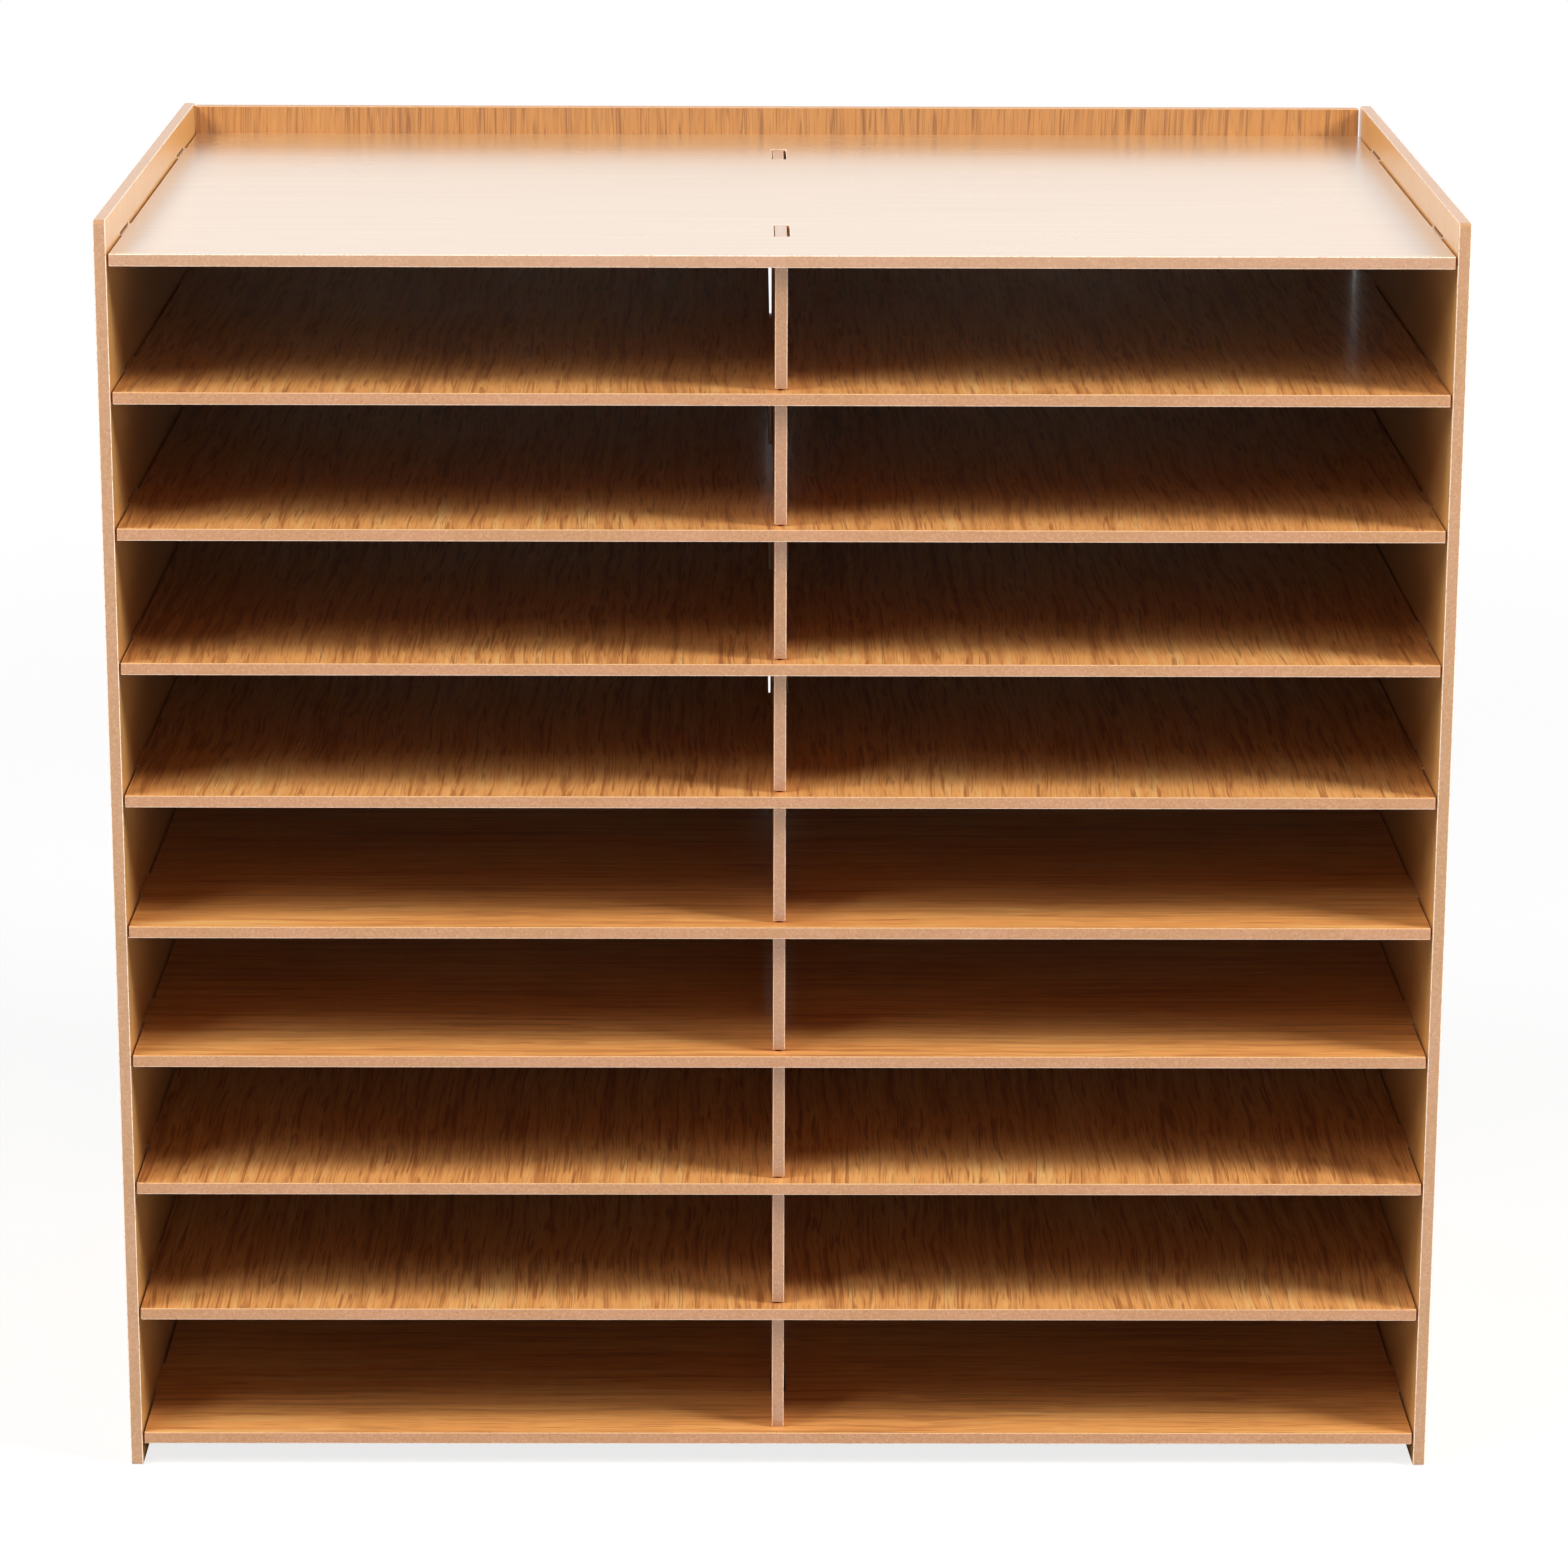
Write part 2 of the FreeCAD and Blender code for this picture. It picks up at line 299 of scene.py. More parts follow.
    def between(self, share: object, first: object, second: object) -> bpy.types.NodeSocket:
        """Adds a Mix node for numbers.

        Args:
            share: How much of the second number shows.
            first: Number at 0.
            second: Number at 1.

        Returns:
            The mixed number.
        """
        made = self.node("ShaderNodeMix", data_type="FLOAT")
        return self.by_place(made, MIX_NUMBERS, share, first, second)

    def bump(self, shader: bpy.types.Node, height: object, strength: float, distance: float) -> None:
        """Adds a Bump node and joins it to a shader.

        Args:
            shader: The shader that shows the bumps.
            height: The height, from 0 to 1.
            strength: Share of the bumps that shows.
            distance: How high they stand, in metres.
        """
        made = self.node("ShaderNodeBump")
        made.inputs["Strength"].default_value = strength
        made.inputs["Distance"].default_value = distance
        self.feed(made.inputs["Height"], height)
        self.feed(shader.inputs["Normal"], made.outputs["Normal"])


def new_material(name: str) -> tuple[bpy.types.Material, NodeDesk, bpy.types.Node]:
    """Adds a material with a Principled shader.

    Args:
        name: The material's name.

    Returns:
        The material, the desk for its tree and its shader.
    """
    material = bpy.data.materials.new(name)
    material.use_nodes = True
    return material, NodeDesk(material.node_tree), material.node_tree.nodes["Principled BSDF"]


@dataclass(frozen=True)
class GrainPattern:
    """Layers of the oak grain.

    A name that ends in scale gives cells in a metre, one that ends in share says how much a layer counts, and one that
    ends in pull gives the share of the place along the grain that a layer reads, so a low one makes long marks. The
    waves have theirs across the grain too. A name that ends in step gives both ends of a smooth step. Light and dark
    are at their fullest when the tone is tone_reach from 0, and deepest is how much of the dark shows then.
    """

    seed_slant: float = 0.71
    long_wave_pull: tuple[float, float] = (1.0, 0.35)
    long_wave_scale: float = 16.0
    long_wave_share: float = 3.0
    short_wave_pull: tuple[float, float] = (0.3, 0.6)
    short_wave_scale: float = 70.0
    short_wave_share: float = 0.8
    band_pull: float = 0.03
    band_share: float = 1.5
    fibre_pull: float = 0.035
    fibre_scale: float = 1100.0
    fibre_share: float = 2.0
    patch_pull: float = 0.3
    patch_scale: float = 22.0
    patch_share: float = 0.6
    ring_pull: float = 0.018
    ring_half_width: float = 0.075
    break_pull: float = 0.12
    break_share: float = 0.8
    break_step: tuple[float, float] = (0.38, 0.52)
    fine_pore_pull: float = 0.06
    fine_pore_scale: float = 1300.0
    fine_pore_step: tuple[float, float] = (0.60, 0.75)
    fine_pore_share: float = 0.4
    tone_reach: float = 0.6
    deepest: float = 0.55


@dataclass(frozen=True)
class CorePattern:
    """Layers of a sawn fibreboard edge. The names end as those of the oak grain do."""

    blotch_scale: float = 26.0
    blotch_step: tuple[float, float] = (0.35, 0.65)
    fuzz_scale: float = 850.0
    lifted_step: tuple[float, float] = (0.45, 0.75)
    sunk_step: tuple[float, float] = (0.25, 0.5)
    fuzz_share: float = 0.12
    lifted_colour: Rgba = (0.95, 0.74, 0.55, 1.0)
    dot_scale: float = 1150.0
    dot_step: tuple[float, float] = (0.66, 0.78)


@dataclass(frozen=True)
class WearPattern:
    """Layers of the clouds in a lacquer's gloss. The names end as those of the oak grain do."""

    cloud_scale: float = 11.0
    wipe_pull: float = 0.15
    wipe_scale: float = 120.0


class ShaderShop:
    """The node groups that the finishes share."""

    def __init__(self) -> None:
        """Builds each of the three groups once."""
        self.oak = self._oak_grain()
        self.core = self._fibre_core()
        self.handling = self._handling()

    def _start(
        self, name: str, inputs: list[tuple[str, str, object]], outputs: list[tuple[str, str]]
    ) -> tuple[NodeDesk, bpy.types.Node, bpy.types.Node]:
        """Opens a shader node group.

        Args:
            name: The group's name.
            inputs: Name, socket type and default value of each input.
            outputs: Name and socket type of each output.

        Returns:
            The desk for its tree, its input node and its output node.
        """
        tree = bpy.data.node_groups.new(name, "ShaderNodeTree")
        for label, kind, value in inputs:
            socket = tree.interface.new_socket(name=label, in_out="INPUT", socket_type=kind)
            if value is not None:
                socket.default_value = value
        for label, kind in outputs:
            tree.interface.new_socket(name=label, in_out="OUTPUT", socket_type=kind)
        desk = NodeDesk(tree)
        return desk, desk.node("NodeGroupInput"), desk.node("NodeGroupOutput")

    def _oak_grain(self) -> bpy.types.NodeTree:
        """Builds the oak grain: bands, fibres and dark pores, with the grain along X.

        Returns:
            The group, which puts out a colour and a height.
        """
        number, colour = "NodeSocketFloat", "NodeSocketColor"
        desk, given, made = self._start(
            "oak_grain",
            [
                ("Vector", "NodeSocketVector", None),
                ("Seed", number, 0.0),
                ("Light", colour, (0.8, 0.5, 0.2, 1.0)),
                ("Middle", colour, (0.6, 0.3, 0.1, 1.0)),
                ("Dark", colour, (0.3, 0.1, 0.05, 1.0)),
                ("Band Width", number, 6 * MM),
                ("Wave", number, 2 * MM),
                ("Fibre", number, 0.3),
                ("Pores", number, 0.5),
                ("Pore Gap", number, 4 * MM),
            ],
            [("Color", colour), ("Height", number)],
        )
        take = given.outputs
        grain = GrainPattern()
        shift = desk.node("ShaderNodeCombineXYZ")
        desk.feed(shift.inputs["X"], take["Seed"])
        desk.feed(shift.inputs["Y"], desk.maths("MULTIPLY", take["Seed"], grain.seed_slant))
        place = desk.vector_maths("ADD", take["Vector"], shift.outputs["Vector"])

        long_wave = desk.noise(desk.stretched(place, *grain.long_wave_pull), grain.long_wave_scale)
        short_wave = desk.noise(desk.stretched(place, *grain.short_wave_pull), grain.short_wave_scale)
        wander = desk.maths(
            "ADD",
            desk.maths("MULTIPLY", desk.about_zero(long_wave), grain.long_wave_share),
            desk.maths("MULTIPLY", desk.about_zero(short_wave), grain.short_wave_share),
        )
        push = desk.node("ShaderNodeCombineXYZ")
        desk.feed(push.inputs["Y"], desk.maths("MULTIPLY", wander, take["Wave"]))
        wavy = desk.vector_maths("ADD", place, push.outputs["Vector"])

        band_scale = desk.maths("DIVIDE", 1.0, take["Band Width"])
        bands = desk.noise(desk.stretched(wavy, grain.band_pull), band_scale, 1.0)
        fibres = desk.noise(desk.stretched(wavy, grain.fibre_pull), grain.fibre_scale, 1.0)
        patches = desk.noise(desk.stretched(place, grain.patch_pull), grain.patch_scale)

        pore_scale = desk.maths("DIVIDE", 1.0, take["Pore Gap"])
        rings = desk.noise(desk.stretched(wavy, grain.ring_pull), pore_scale, 1.0)
        from_ring = desk.maths("ABSOLUTE", desk.about_zero(rings))
        ring_lines = desk.spread(from_ring, 0.0, grain.ring_half_width, 1.0, 0.0)
        break_scale = desk.maths("MULTIPLY", pore_scale, grain.break_share)
        breaks = desk.spread(desk.noise(desk.stretched(place, grain.break_pull), break_scale), *grain.break_step)
        fine = desk.noise(desk.stretched(wavy, grain.fine_pore_pull), grain.fine_pore_scale)
        fine_pores = desk.maths("MULTIPLY", desk.spread(fine, *grain.fine_pore_step), grain.fine_pore_share)
        marks = desk.maths("MAXIMUM", desk.maths("MULTIPLY", ring_lines, breaks), fine_pores)
        marks = desk.maths("MULTIPLY", marks, take["Pores"], clamp=True)

        fibre_share = desk.maths("MULTIPLY", take["Fibre"], grain.fibre_share)
        tone = desk.maths("MULTIPLY", desk.about_zero(bands), grain.band_share)
        tone = desk.maths("ADD", tone, desk.maths("MULTIPLY", desk.about_zero(fibres), fibre_share))
        tone = desk.maths("ADD", tone, desk.maths("MULTIPLY", desk.about_zero(patches), grain.patch_share))
        bright = desk.spread(tone, 0.0, grain.tone_reach)
        dim = desk.spread(tone, -grain.tone_reach, 0.0, grain.deepest, 0.0)
        face = desk.blend(bright, take["Middle"], take["Light"])
        face = desk.blend(dim, face, take["Dark"])
        face = desk.blend(marks, face, take["Dark"])
        desk.feed(made.inputs["Color"], face)
        desk.feed(made.inputs["Height"], fibres)
        return desk.tree

    def _fibre_core(self) -> bpy.types.NodeTree:
        """Builds the sawn edge of a fibreboard: soft blotches, specks and fuzz.

        Returns:
            The group, which puts out a colour and a height.
        """
        number, colour = "NodeSocketFloat", "NodeSocketColor"
        desk, given, made = self._start(
            "fibre_core",
            [
                ("Vector", "NodeSocketVector", None),
                ("Seed", number, 0.0),
                ("Rosy", colour, (0.6, 0.35, 0.2, 1.0)),
                ("Tan", colour, (0.6, 0.3, 0.15, 1.0)),
                ("Speck", colour, (0.3, 0.15, 0.07, 1.0)),
                ("Specks", number, 0.4),
            ],
            [("Color", colour), ("Height", number)],
        )
        take = given.outputs
        shift = desk.node("ShaderNodeCombineXYZ")
        for axis in "XYZ":
            desk.feed(shift.inputs[axis], take["Seed"])
        place = desk.vector_maths("ADD", take["Vector"], shift.outputs["Vector"])
        sawn = CorePattern()
        blotches = desk.spread(desk.noise(place, sawn.blotch_scale, solid=True), *sawn.blotch_step)
        fuzz = desk.noise(place, sawn.fuzz_scale, 1.0, solid=True)
        dots = desk.spread(desk.noise(place, sawn.dot_scale, solid=True), *sawn.dot_step)
        ground = desk.blend(blotches, take["Rosy"], take["Tan"])
        raised = desk.spread(fuzz, *sawn.lifted_step, 0.0, sawn.fuzz_share)
        lifted = desk.blend(raised, ground, sawn.lifted_colour)
        hollow = desk.spread(fuzz, *sawn.sunk_step, sawn.fuzz_share, 0.0)
        sunk = desk.blend(hollow, lifted, take["Speck"])
        face = desk.blend(desk.maths("MULTIPLY", dots, take["Specks"]), sunk, take["Speck"])
        desk.feed(made.inputs["Color"], face)
        desk.feed(made.inputs["Height"], fuzz)
        return desk.tree

    def _handling(self) -> bpy.types.NodeTree:
        """Builds the faint clouds that handling and wiping leave in a lacquer's gloss.

        Returns:
            The group, which puts out a roughness.
        """
        number = "NodeSocketFloat"
        desk, given, made = self._start(
            "handling",
            [("Vector", "NodeSocketVector", None), ("Roughness", number, 0.3), ("Change", number, 0.05)],
            [("Roughness", number)],
        )
        take = given.outputs
        wear = WearPattern()
        clouds = desk.noise(take["Vector"], wear.cloud_scale, 1.0)
        wipes = desk.noise(desk.stretched(take["Vector"], wear.wipe_pull), wear.wipe_scale)
        both = desk.maths("SUBTRACT", desk.maths("ADD", clouds, wipes), 1.0)
        result = desk.maths("MULTIPLY_ADD", both, take["Change"], take["Roughness"])
        desk.feed(made.inputs["Roughness"], result)
        return desk.tree


@dataclass(frozen=True)
class OakFace:
    """The oak face of a board: its three tones, its grain and its gloss.

    The face that looks the other way, a lying board's underside, is multiplied by a painted shade that darkens the
    ceiling of the compartment below.
    """

    light: Rgb
    middle: Rgb
    dark: Rgb
    band_width: float = 6 * MM
    wave: float = 2 * MM
    fibre: float = 0.35
    pores: float = 0.5
    pore_gap: float = 4 * MM
    roughness: float = 0.35
    lacquer: float = 1.0
    lacquer_roughness: float = 0.3
    refraction: float = 1.6
    relief: float = 0.5
    handled: float = 0.12
    reverse: Rgba = WHITE


@dataclass(frozen=True)
class FibreCore:
    """The bare sawn edge of a board."""

    rosy: Rgb = (198, 143, 104)
    tan: Rgb = (194, 140, 97)
    speck: Rgb = (150, 102, 70)
    specks: float = 0.4
    roughness: float = 0.72
    sheen: float = 0.6


@dataclass(frozen=True)
class ArrisLine:
    """The narrow eased line where an oak face meets a sawn edge, the veneer's pale cut edge, with one tone where it
    looks up and one below; the paler lower tone is partly painted light from the floor below.
    """

    upper: Rgb = (224, 177, 128)
    lower: Rgb = (250, 222, 196)
    turn: float = 0.3
    width: float = 0.35 * MM
    segments: int = 2
    roughness: float = 0.5
    nick_scale: float = 700.0
    nick_step: tuple[float, float] = (0.5, 0.7)
    nick_share: float = 0.55
    bump_strength: float = 0.3
    bump_distance: float = 0.05 * MM


@dataclass(frozen=True)
class BoardFinish:
    """All that one board shows: oak on its two faces and bare core on its edges."""

    name: str
    oak: OakFace
    lay: Lay
    seed: float
    core: FibreCore = FibreCore()
    arris: ArrisLine = ArrisLine()
    bump_strength: float = 0.35
    bump_distance: float = 0.06 * MM

    def board_material(self, shop: ShaderShop) -> bpy.types.Material:
        """Builds the material of the board's faces and edges.

        Args:
            shop: The shared node groups.

        Returns:
            The material.
        """
        material, desk, shader = new_material(self.name)
        place = desk.node("ShaderNodeTexCoord").outputs["Object"]
        along = desk.node("ShaderNodeMapping")
        desk.feed(along.inputs["Vector"], place)
        along.inputs["Rotation"].default_value = self.lay.grain_turn
        grain_place = along.outputs["Vector"]

        oak = desk.group(shop.oak, {
            "Vector": grain_place, "Seed": self.seed, "Light": linear(self.oak.light),
            "Middle": linear(self.oak.middle), "Dark": linear(self.oak.dark), "Band Width": self.oak.band_width,
            "Wave": self.oak.wave, "Fibre": self.oak.fibre, "Pores": self.oak.pores, "Pore Gap": self.oak.pore_gap,
        })
        core = desk.group(shop.core, {
            "Vector": place, "Seed": self.seed, "Rosy": linear(self.core.rosy), "Tan": linear(self.core.tan),
            "Speck": linear(self.core.speck), "Specks": self.core.specks,
        })
        gloss = desk.group(shop.handling, {
            "Vector": grain_place, "Roughness": self.oak.roughness, "Change": self.oak.handled,
        })

        normal = desk.node("ShaderNodeNewGeometry").outputs["True Normal"]
        toward = desk.vector_maths("DOT_PRODUCT", normal, self.lay.face_axis)
        on_face = desk.maths("GREATER_THAN", desk.maths("ABSOLUTE", toward), FACES_FROM)
        # Painted shade: the underside of a lying board is multiplied by a darker grey.
        under = desk.maths("LESS_THAN", toward, -FACES_FROM)
        print_and_underside_shade = desk.blend(under, oak.outputs["Color"], self.oak.reverse, "MULTIPLY")

        desk.feed(shader.inputs["Base Color"], desk.blend(on_face, core.outputs["Color"], print_and_underside_shade))
        desk.feed(shader.inputs["Roughness"], desk.between(on_face, self.core.roughness, gloss.outputs["Roughness"]))
        desk.feed(shader.inputs["Coat Weight"], desk.between(on_face, self.core.sheen, self.oak.lacquer))
        shader.inputs["Coat Roughness"].default_value = self.oak.lacquer_roughness
        shader.inputs["Coat IOR"].default_value = self.oak.refraction
        shader.inputs["IOR"].default_value = self.oak.refraction
        relief = desk.maths("MULTIPLY", oak.outputs["Height"], self.oak.relief)
        height = desk.between(on_face, core.outputs["Height"], relief)
        desk.bump(shader, height, self.bump_strength, self.bump_distance)
        return material

    def arris_material(self, shop: ShaderShop) -> bpy.types.Material:
        """Builds the material of the eased line along the board's edges.

        Args:
            shop: The shared node groups. Not used.

        Returns:
            The material.
        """
        material, desk, shader = new_material(self.name + "_arris")
        place = desk.node("ShaderNodeTexCoord").outputs["Object"]
        normal = desk.node("ShaderNodeNewGeometry").outputs["True Normal"]
        # Painted light: where the line faces down it takes the paler lower tone, the veneer's pale cut edge brightened
        # as if lit by the white floor below.
        upward = desk.spread(desk.vector_maths("DOT_PRODUCT", normal, UP), -self.arris.turn, self.arris.turn)
        line = desk.blend(upward, linear(self.arris.lower), linear(self.arris.upper))
        nicks = desk.noise(place, self.arris.nick_scale, 1.0, solid=True)
        wear = desk.spread(nicks, *self.arris.nick_step, 0.0, self.arris.nick_share)
        desk.feed(shader.inputs["Base Color"], desk.blend(wear, line, linear(self.core.rosy)))
        desk.feed(shader.inputs["Roughness"], desk.between(nicks, self.arris.roughness, self.core.roughness))
        desk.bump(shader, nicks, self.arris.bump_strength, self.arris.bump_distance)
        return material


# Painted shade: a grey that darkens the undersides of the lying boards, which are the ceilings of the compartments.
PAINTED_UNDERSIDE_SHADE: Rgba = (0.48, 0.47, 0.46, 1.0)
TRAY_FLOOR = OakFace(
    light=(206, 164, 118), middle=(202, 160, 114), dark=(192, 148, 102), band_width=5 * MM, wave=1.2 * MM, fibre=0.2,
    pores=0.03, pore_gap=2.2 * MM, roughness=0.28, lacquer_roughness=0.22, refraction=2.0, relief=0.0, handled=0.015,
    reverse=PAINTED_UNDERSIDE_SHADE,
)
CROSS_GRAIN = OakFace(
    light=(232, 179, 110), middle=(225, 158, 91), dark=(146, 80, 38), band_width=4 * MM, wave=1.3 * MM, pores=0.7,
    pore_gap=2.6 * MM, roughness=0.4, lacquer=0.35, lacquer_roughness=0.18, refraction=1.45, relief=0.25,
    reverse=PAINTED_UNDERSIDE_SHADE,
)
LONG_GRAIN = replace(
    CROSS_GRAIN, light=(236, 182, 111), middle=(229, 158, 88), dark=(152, 84, 40), wave=1.2 * MM, pores=0.45,
    pore_gap=2.2 * MM,
)
WALL_GRAIN = OakFace(
    light=(243, 187, 113), middle=(239, 181, 106), dark=(227, 164, 92), wave=1.0 * MM, fibre=0.2, pores=0.06,
    pore_gap=3 * MM, relief=0.1, handled=0.04,
)
SPINE_GRAIN = OakFace(
    light=(232, 172, 108), middle=(226, 163, 100), dark=(206, 141, 84), wave=1.0 * MM, pores=0.12, pore_gap=3 * MM,
    roughness=0.5, lacquer=0.5, lacquer_roughness=0.25, relief=0.2,
)
REAR_GRAIN = OakFace(
    light=(208, 147, 77), middle=(199, 137, 72), dark=(120, 68, 30), band_width=3.5 * MM, wave=0.8 * MM, pores=0.6,
    pore_gap=2.6 * MM,
)
WALL_CORE = FibreCore(rosy=(194, 142, 100), tan=(190, 139, 92), sheen=1.0)
SPINE_CORE = FibreCore(rosy=(183, 128, 86), tan=(179, 125, 80), roughness=0.3, sheen=1.0)
# Partly the veneer's pale cut edge and partly a painted highlight: a near-white upper tone for the sheen along the
# arrises of the side panels and the top board.
PAINTED_HIGHLIGHT_LINE = ArrisLine(upper=(250, 230, 206))


@dataclass
class Board:
    """One board of the flat pack: a frame node with its finish and its eased edges."""

    node: str
    finish: BoardFinish
    weld_distance: float = 0.001 * MM
    flat_angle: float = math.radians(1)
    arris_angle: float = math.radians(40)

    def dress(self, shop: ShaderShop) -> None:
        """Gives the node its materials and its eased edges.

        The weld and the merging of flat facets let the bevel meet whole faces. The arris has the second material.

        Args:
            shop: The shared node groups.
        """
        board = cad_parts[self.node]
        board.data.materials.clear()
        board.data.materials.append(self.finish.board_material(shop))
        board.data.materials.append(self.finish.arris_material(shop))
        weld = board.modifiers.new("weld", "WELD")
        weld.merge_threshold = self.weld_distance
        flat = board.modifiers.new("flat", "DECIMATE")
        flat.decimate_type = "DISSOLVE"
        flat.angle_limit = self.flat_angle
        eased = board.modifiers.new("eased", "BEVEL")
        eased.width = self.finish.arris.width
        eased.segments = self.finish.arris.segments
        eased.limit_method = "ANGLE"
        eased.angle_limit = self.arris_angle
        eased.use_clamp_overlap = False
        eased.loop_slide = False
        eased.material = 1
        shading = board.modifiers.new("shading", "WEIGHTED_NORMAL")
        shading.mode = "FACE_AREA"
        LOG.info("board %s: %s", self.node, self.finish.lay.name.lower())


@dataclass
class SideWalls:
    """The two upright side panels."""

    seeds: tuple[float, float] = (3.1, 7.7)

    def build(self, shop: ShaderShop) -> None:
        """Dresses both panels.

        Args:
            shop: The shared node groups.
        """
        for node, seed in zip(("left_side_panel", "right_side_panel"), self.seeds):
            finish = BoardFinish(node + "_oak", WALL_GRAIN, Lay.SIDE_UPRIGHT, seed, WALL_CORE, PAINTED_HIGHLIGHT_LINE)
            Board(node, finish).dress(shop)


@dataclass
class TrayTop:
    """The top board, the floor of the tray."""

    seed: float = 11.3

    def build(self, shop: ShaderShop) -> None:
        """Dresses the top board.

        Args:
            shop: The shared node groups.
        """
        finish = BoardFinish("top_board_oak", TRAY_FLOOR, Lay.LYING_WIDTHWAYS, self.seed, arris=PAINTED_HIGHLIGHT_LINE)
        Board("top_board", finish).dress(shop)


@dataclass
class ShelfStack:
    """The eight shelves and the bottom board."""

    cross_grain: tuple[str, ...] = ("shelf_1", "shelf_2", "shelf_3", "shelf_4", "shelf_7", "shelf_8")
    long_grain: tuple[str, ...] = ("shelf_5", "shelf_6", "bottom_board")
    first_seed: float = 20.0
    seed_step: float = 2.9

    def build(self, shop: ShaderShop) -> None:
        """Dresses the nine boards, each with its own stretch of grain.

        Args:
            shop: The shared node groups.
        """
        seed = self.first_seed
        for node in self.cross_grain + self.long_grain:
            across = node in self.cross_grain
            oak = CROSS_GRAIN if across else LONG_GRAIN
            lay = Lay.LYING_FRONT_TO_BACK if across else Lay.LYING_WIDTHWAYS
            Board(node, BoardFinish(node + "_oak", oak, lay, seed)).dress(shop)
            seed += self.seed_step


@dataclass
class Spine:
    """The centre divider."""

    seed: float = 51.9

    def build(self, shop: ShaderShop) -> None:
        """Dresses the divider.

        Args:
            shop: The shared node groups.
        """
        finish = BoardFinish("centre_divider_oak", SPINE_GRAIN, Lay.SIDE_UPRIGHT, self.seed, SPINE_CORE)
        Board("centre_divider", finish).dress(shop)


@dataclass
class Rear:
    """The back panel, whose upper edge is the tray's back lip."""

    seed: float = 63.4

    def build(self, shop: ShaderShop) -> None:
        """Dresses the back panel.

        Args:
            shop: The shared node groups.
        """
        finish = BoardFinish("back_panel_oak", REAR_GRAIN, Lay.REAR_UPRIGHT, self.seed)
        Board("back_panel", finish).dress(shop)


